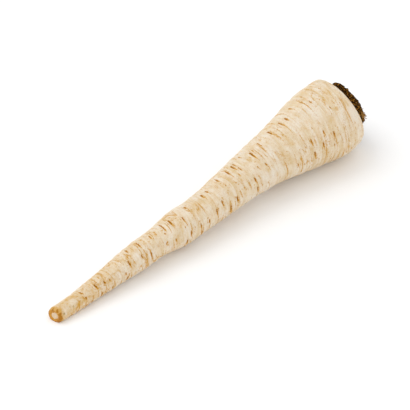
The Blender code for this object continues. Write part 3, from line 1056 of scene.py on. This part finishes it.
# Vascular strands, frayed out of the leaf bases: straw to ochre, dry
strandFinish = {
    "base": "#3B2510", "straw": "#B8863A", "streak": "#7A5020",
    "plain": {"Roughness": 0.7, "Specular IOR Level": 0.3},
}


def frayedStrand():
    material, tree, shader = startMaterial("frayedVascularStrand")
    f = strandFinish
    place, m = readMarks(tree, ("tone",), "fibre")
    streaks = pattern(tree, place, 1, 1, 0.4, 0.65)
    color = paint(tree, hexColor(f["base"]), [(m["tone"], f["straw"], 0.9), (streaks, f["streak"], 0.4)])
    finishMaterial(tree, shader, f, color)
    return material


def finishCrown(name, parts, material):
    points = laid(np.array(parts["points"]))
    piece = makePiece(name, points, parts["faces"], parts["marks"], [material])
    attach(piece, "root")
    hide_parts("crown")
    print(name, len(parts["faces"]), "faces")


def buildDisc(material):
    form = crownForm
    outline = np.array(form["disc"])
    place, radius = spreadRings(outline, np.hypot(*np.diff(outline, axis=0).T), form["discRings"])
    sides = form["discSides"]
    angle = np.linspace(0, 2 * math.pi, sides, endpoint=False)[None, :]
    straight = unbent(place, radius, angle)
    rough = ramp(place, *form["roughFrom"])
    uneven = place + 0.5 * rough * lumps(straight / 1.2, 9)
    grown = radius + 0.4 * rough * lumps(straight / (0.8, 1.6, 1.6), 4)
    points = withMiddles(bent(uneven, grown, angle).reshape(-1, 3), sides)
    fibre = straight.reshape(-1, 3)
    plain = np.zeros(len(points))
    marks = {"tall": plain + 0.5, "cut": plain, "tone": plain + 0.15}
    marks["fibre"] = np.concatenate([fibre, fibre[:2]])
    parts = {"points": points, "faces": ringFaces(len(place), sides), "marks": marks}
    finishCrown("crownDisc", parts, material)


def buildCrown():
    form = crownForm
    fibreMaterial, strandMaterial = driedLeafBase(), frayedStrand()
    buildDisc(fibreMaterial)

    draw, torn = random.Random(form["seed"]), random.Random(form["seedOfScales"])
    bases = newParts()
    outer, inner = form["outerRadius"], form["innerRadius"]
    outerArc, moreArc, play = form["arc"]
    for i in range(form["leafBases"]):
        inward = i / (form["leafBases"] - 1)
        radius = outer + (inner - outer) * inward ** form["crowding"]
        arc = math.radians(outerArc + moreArc * inward + draw.uniform(-play, play))
        top = form["top"] + form["heartRise"] * inward + draw.uniform(-0.7, 0.7)
        turn = i * form["goldenTurn"] + draw.uniform(-0.12, 0.12)
        draw.uniform(0, 6)  # used for nothing, but it keeps the draws after it as they are
        thick = form["thickness"] * (0.85 - 0.3 * inward)
        tone = 0.2 + 0.5 * torn.random() * (0.5 + inward)
        leafBase(torn, bases, turn, radius, arc, form["foot"], top, thick, *form["baseFlareFray"], tone)
    finishCrown("crownLeafBases", bases, fibreMaterial)

    scales = newParts()
    leanAt, leanReach, leanBy = form["leanOut"]
    for count, tierRadius, foot, tierTop in form["tiers"]:
        offset = torn.uniform(0, 1)
        for i in range(count):
            turn = (i + offset + torn.uniform(-0.3, 0.3)) * 2 * math.pi / count
            halfArc = math.pi / count * torn.uniform(0.9, 1.6)
            lean = leanBy * float(bump(turnFrom(turn, math.radians(leanAt)) / math.radians(leanReach)))
            radius = tierRadius + torn.uniform(-0.2, 0.2) + 0.4 * lean
            top = tierTop + torn.uniform(-1.4, 0.5)
            thick = form["scaleThickness"] * torn.uniform(0.8, 1.5)
            flare = form["flare"] * torn.uniform(0, 1.6) + lean
            tone = torn.random() ** 1.5
            leafBase(torn, scales, turn, radius, halfArc, foot, top, thick, flare, form["fray"], tone)
    leafBase(torn, scales, *form["paleScale"])
    finishCrown("crownScales", scales, fibreMaterial)

    strands = newParts()
    wallRadius, lessRadius = form["strandRadius"]
    wallFoot, moreFoot = form["strandFoot"]
    for _ in range(form["strands"]):
        inward = torn.random() ** 1.5
        long = torn.uniform(*form["strandLength"])
        turn = torn.uniform(0, 2 * math.pi)
        radius = wallRadius - lessRadius * inward
        foot = wallFoot + moreFoot * inward - 0.4 * long
        thick = torn.uniform(*form["strandThickness"])
        lean = torn.uniform(*form["strandLean"])
        strand(torn, strands, turn, radius, foot, long, thick, lean, torn.random() ** 2)
    tuftAt, tuftSpread, tuftCount = form["tuft"]
    for _ in range(tuftCount):
        turn = math.radians(torn.gauss(tuftAt, tuftSpread))
        radius = wallRadius + torn.uniform(-0.6, 0.5)
        foot = form["tuftFoot"] + torn.uniform(0, 1.8)
        long = torn.uniform(*form["tuftLength"])
        thick = torn.uniform(*form["tuftThickness"])
        lean = torn.uniform(*form["tuftLean"])
        strand(torn, strands, turn, radius, foot, long, thick, lean, torn.uniform(0.7, 1))
    finishCrown("crownStrands", strands, strandMaterial)


buildCrown()


# Plain pale matt paper, as a floor
stageForm = {
    "size": 3.0, "paper": "#FDFDFD", "sky": "#FFFFFF", "skyStrength": 0.95,
    "plain": {"Roughness": 0.9, "Specular IOR Level": 0.1},
}


def buildStage():
    bpy.ops.mesh.primitive_plane_add(size=stageForm["size"])
    floor = bpy.context.object
    floor.name = "floor"
    material, _, shader = startMaterial("paleMattPaper")
    shader.inputs["Base Color"].default_value = hexColor(stageForm["paper"])
    for socket, value in stageForm["plain"].items():
        shader.inputs[socket].default_value = value
    floor.data.materials.append(material)
    world = bpy.data.worlds.new("paleRoom")
    bpy.context.scene.world = world
    world.use_nodes = True
    world.node_tree.nodes["Background"].inputs["Color"].default_value = hexColor(stageForm["sky"])
    world.node_tree.nodes["Background"].inputs["Strength"].default_value = stageForm["skyStrength"]
    print("stage built")


# each softbox: place and aim in m, width and height in m, power in W. The pale sky does the rest
lightForm = {
    "key": ((-0.3, 0.5, 1.0), (0, 0, 0.02), (0.7, 0.7), 2.8),
}


def buildLights():
    for name, (place, aim, size, power) in lightForm.items():
        data = bpy.data.lights.new(name, "AREA")
        data.shape = "RECTANGLE"
        data.size, data.size_y = size
        data.energy = power
        lamp = bpy.data.objects.new(name, data)
        bpy.context.scene.collection.objects.link(lamp)
        lamp.location = place
        lamp.rotation_euler = (Vector(place) - Vector(aim)).to_track_quat("Z", "Y").to_euler()
    bpy.context.scene.view_settings.view_transform = "Standard"
    print("lights placed")


buildStage()
buildLights()


# The photograph's view, fitted to the root's outline
cameraForm = {
    "azimuth": -44.88,
    "elevation": 37.72,
    "distance": 0.705,
    "lens": 114.73,
    "sensor": 36,
    "clip": (0.01, 10),
    "aim": (-0.0065, 0.0, 0.015),
    "aimRight": -0.00084,
    "aimUp": -0.00216,
}


def buildCamera():
    a, e = math.radians(cameraForm["azimuth"]), math.radians(cameraForm["elevation"])
    back = Vector((math.sin(a) * math.cos(e), -math.cos(a) * math.cos(e), math.sin(e)))
    right = Vector((math.cos(a), math.sin(a), 0))
    up = back.cross(right)
    aim = Vector(cameraForm["aim"])
    place = aim + back * cameraForm["distance"]
    look = aim + right * cameraForm["aimRight"] + up * cameraForm["aimUp"]
    data = bpy.data.cameras.new("camera")
    data.lens = cameraForm["lens"]
    data.sensor_width = cameraForm["sensor"]
    data.clip_start, data.clip_end = cameraForm["clip"]
    camera = bpy.data.objects.new("camera", data)
    bpy.context.scene.collection.objects.link(camera)
    camera.location = place
    camera.rotation_euler = (place - look).to_track_quat("Z", "Y").to_euler()
    bpy.context.scene.camera = camera
    print("camera set")


buildCamera()
